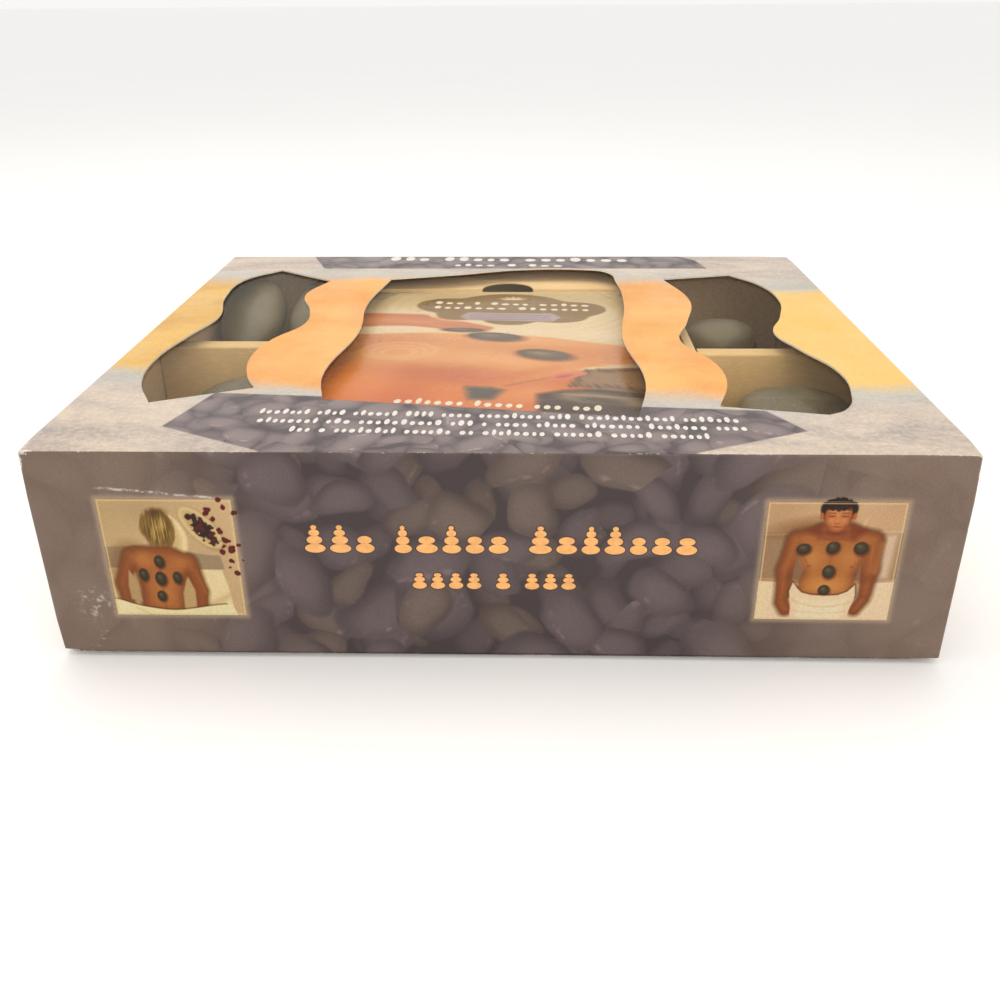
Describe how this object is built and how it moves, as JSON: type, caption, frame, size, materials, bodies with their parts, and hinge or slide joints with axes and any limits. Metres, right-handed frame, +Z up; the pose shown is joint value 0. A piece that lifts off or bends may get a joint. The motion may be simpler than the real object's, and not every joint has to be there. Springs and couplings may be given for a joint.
{
  "type": "boxed hot stone massage kit",
  "caption": "Printed card box with a lift-off lid and three wavy film windows, over a card platform that holds a paperback in a well between side bays of polished basalt massage stones.",
  "frame": {"origin": "middle of the tray's underside, on the surface that the box stands on", "axes": "+X to the right along the box's long side, -Y out of the printed front face, +Z up through the windows"},
  "size_m": [0.305, 0.267, 0.079],
  "materials": {
    "printed_board": "solid box board with a colour print and a satin varnish",
    "clear_film": "clear thin film",
    "tray_board": "solid box board, dark print outside",
    "kraft_card": "uncoated tan card",
    "book_cover_card": "laminated colour print",
    "book_paper": "trimmed page edges",
    "basalt": "tumbled smooth, lightly oiled"
  },
  "bodies": {
    "tray": {"base_tray": "tray_board", "insert_platform": "kraft_card", "left_divider": "kraft_card", "right_divider": "kraft_card"},
    "lid": {"lid": "printed_board", "window_film": "clear_film"},
    "book": {"book_pages": "book_paper", "book_back_cover_and_spine": "book_cover_card"},
    "book_cover": {"book_front_cover": "book_cover_card"},
    "left_front_stone_1": {"left_front_stone_1": "basalt"},
    "left_front_stone_2": {"left_front_stone_2": "basalt"},
    "left_front_stone_3": {"left_front_stone_3": "basalt"},
    "left_front_stone_4": {"left_front_stone_4": "basalt"},
    "left_front_stone_5": {"left_front_stone_5": "basalt"},
    "left_rear_stone_1": {"left_rear_stone_1": "basalt"},
    "left_rear_stone_2": {"left_rear_stone_2": "basalt"},
    "left_rear_stone_3": {"left_rear_stone_3": "basalt"},
    "left_rear_stone_4": {"left_rear_stone_4": "basalt"},
    "left_rear_stone_5": {"left_rear_stone_5": "basalt"},
    "left_rear_stone_6": {"left_rear_stone_6": "basalt"},
    "left_rear_stone_7": {"left_rear_stone_7": "basalt"},
    "right_front_stone_1": {"right_front_stone_1": "basalt"},
    "right_front_stone_2": {"right_front_stone_2": "basalt"},
    "right_front_stone_3": {"right_front_stone_3": "basalt"},
    "right_front_stone_4": {"right_front_stone_4": "basalt"},
    "right_front_stone_5": {"right_front_stone_5": "basalt"},
    "right_rear_stone_1": {"right_rear_stone_1": "basalt"},
    "right_rear_stone_2": {"right_rear_stone_2": "basalt"},
    "right_rear_stone_3": {"right_rear_stone_3": "basalt"},
    "right_rear_stone_4": {"right_rear_stone_4": "basalt"},
    "right_rear_stone_5": {"right_rear_stone_5": "basalt"},
    "right_rear_stone_6": {"right_rear_stone_6": "basalt"}
  },
  "joints": [
    {"name": "lid_lift", "type": "slide", "parent": "tray", "child": "lid", "axis": [0, 0, 1], "range_m": [0, 0.4]},
    {"name": "book_lift", "type": "slide", "parent": "tray", "child": "book", "axis": [0, 0, 1], "range_m": [0, 0.12]},
    {"name": "cover_turn", "type": "hinge", "parent": "book", "child": "book_cover", "pos_m": [-0.076, -0.0085, 0.0708], "axis": [0, -1, 0], "range_deg": [0, 175]},
    {"name": "left_front_stone_1_lift", "type": "slide", "parent": "tray", "child": "left_front_stone_1", "axis": [0, 0, 1], "range_m": [0, 0.08]},
    {"name": "left_front_stone_2_lift", "type": "slide", "parent": "tray", "child": "left_front_stone_2", "axis": [0, 0, 1], "range_m": [0, 0.08]},
    {"name": "left_front_stone_3_lift", "type": "slide", "parent": "tray", "child": "left_front_stone_3", "axis": [0, 0, 1], "range_m": [0, 0.09]},
    {"name": "left_front_stone_4_lift", "type": "slide", "parent": "tray", "child": "left_front_stone_4", "axis": [0, 0, 1], "range_m": [0, 0.09]},
    {"name": "left_front_stone_5_lift", "type": "slide", "parent": "tray", "child": "left_front_stone_5", "axis": [0, 0, 1], "range_m": [0, 0.1]},
    {"name": "left_rear_stone_1_lift", "type": "slide", "parent": "tray", "child": "left_rear_stone_1", "axis": [0, 0, 1], "range_m": [0, 0.08]},
    {"name": "left_rear_stone_2_lift", "type": "slide", "parent": "tray", "child": "left_rear_stone_2", "axis": [0, 0, 1], "range_m": [0, 0.08]},
    {"name": "left_rear_stone_3_lift", "type": "slide", "parent": "tray", "child": "left_rear_stone_3", "axis": [0, 0, 1], "range_m": [0, 0.08]},
    {"name": "left_rear_stone_4_lift", "type": "slide", "parent": "tray", "child": "left_rear_stone_4", "axis": [0, 0, 1], "range_m": [0, 0.09]},
    {"name": "left_rear_stone_5_lift", "type": "slide", "parent": "tray", "child": "left_rear_stone_5", "axis": [0, 0, 1], "range_m": [0, 0.09]},
    {"name": "left_rear_stone_6_lift", "type": "slide", "parent": "tray", "child": "left_rear_stone_6", "axis": [0, 0, 1], "range_m": [0, 0.1]},
    {"name": "left_rear_stone_7_lift", "type": "slide", "parent": "tray", "child": "left_rear_stone_7", "axis": [0, 0, 1], "range_m": [0, 0.1]},
    {"name": "right_front_stone_1_lift", "type": "slide", "parent": "tray", "child": "right_front_stone_1", "axis": [0, 0, 1], "range_m": [0, 0.08]},
    {"name": "right_front_stone_2_lift", "type": "slide", "parent": "tray", "child": "right_front_stone_2", "axis": [0, 0, 1], "range_m": [0, 0.08]},
    {"name": "right_front_stone_3_lift", "type": "slide", "parent": "tray", "child": "right_front_stone_3", "axis": [0, 0, 1], "range_m": [0, 0.09]},
    {"name": "right_front_stone_4_lift", "type": "slide", "parent": "tray", "child": "right_front_stone_4", "axis": [0, 0, 1], "range_m": [0, 0.09]},
    {"name": "right_front_stone_5_lift", "type": "slide", "parent": "tray", "child": "right_front_stone_5", "axis": [0, 0, 1], "range_m": [0, 0.1]},
    {"name": "right_rear_stone_1_lift", "type": "slide", "parent": "tray", "child": "right_rear_stone_1", "axis": [0, 0, 1], "range_m": [0, 0.08]},
    {"name": "right_rear_stone_2_lift", "type": "slide", "parent": "tray", "child": "right_rear_stone_2", "axis": [0, 0, 1], "range_m": [0, 0.08]},
    {"name": "right_rear_stone_3_lift", "type": "slide", "parent": "tray", "child": "right_rear_stone_3", "axis": [0, 0, 1], "range_m": [0, 0.08]},
    {"name": "right_rear_stone_4_lift", "type": "slide", "parent": "tray", "child": "right_rear_stone_4", "axis": [0, 0, 1], "range_m": [0, 0.09]},
    {"name": "right_rear_stone_5_lift", "type": "slide", "parent": "tray", "child": "right_rear_stone_5", "axis": [0, 0, 1], "range_m": [0, 0.09]},
    {"name": "right_rear_stone_6_lift", "type": "slide", "parent": "tray", "child": "right_rear_stone_6", "axis": [0, 0, 1], "range_m": [0, 0.1]}
  ],
  "couplings": [
    {"joint": "book_lift", "follows": "lid_lift", "ratio": 0.3},
    {"joint": "cover_turn", "follows": "lid_lift", "rad_per_m": 4.9},
    {"joint": "left_front_stone_1_lift", "follows": "lid_lift", "ratio": 0.2},
    {"joint": "left_front_stone_2_lift", "follows": "lid_lift", "ratio": 0.2},
    {"joint": "left_front_stone_3_lift", "follows": "lid_lift", "ratio": 0.225},
    {"joint": "left_front_stone_4_lift", "follows": "lid_lift", "ratio": 0.225},
    {"joint": "left_front_stone_5_lift", "follows": "lid_lift", "ratio": 0.25},
    {"joint": "left_rear_stone_1_lift", "follows": "lid_lift", "ratio": 0.2},
    {"joint": "left_rear_stone_2_lift", "follows": "lid_lift", "ratio": 0.2},
    {"joint": "left_rear_stone_3_lift", "follows": "lid_lift", "ratio": 0.2},
    {"joint": "left_rear_stone_4_lift", "follows": "lid_lift", "ratio": 0.225},
    {"joint": "left_rear_stone_5_lift", "follows": "lid_lift", "ratio": 0.225},
    {"joint": "left_rear_stone_6_lift", "follows": "lid_lift", "ratio": 0.25},
    {"joint": "left_rear_stone_7_lift", "follows": "lid_lift", "ratio": 0.25},
    {"joint": "right_front_stone_1_lift", "follows": "lid_lift", "ratio": 0.2},
    {"joint": "right_front_stone_2_lift", "follows": "lid_lift", "ratio": 0.2},
    {"joint": "right_front_stone_3_lift", "follows": "lid_lift", "ratio": 0.225},
    {"joint": "right_front_stone_4_lift", "follows": "lid_lift", "ratio": 0.225},
    {"joint": "right_front_stone_5_lift", "follows": "lid_lift", "ratio": 0.25},
    {"joint": "right_rear_stone_1_lift", "follows": "lid_lift", "ratio": 0.2},
    {"joint": "right_rear_stone_2_lift", "follows": "lid_lift", "ratio": 0.2},
    {"joint": "right_rear_stone_3_lift", "follows": "lid_lift", "ratio": 0.2},
    {"joint": "right_rear_stone_4_lift", "follows": "lid_lift", "ratio": 0.225},
    {"joint": "right_rear_stone_5_lift", "follows": "lid_lift", "ratio": 0.225},
    {"joint": "right_rear_stone_6_lift", "follows": "lid_lift", "ratio": 0.25}
  ]
}
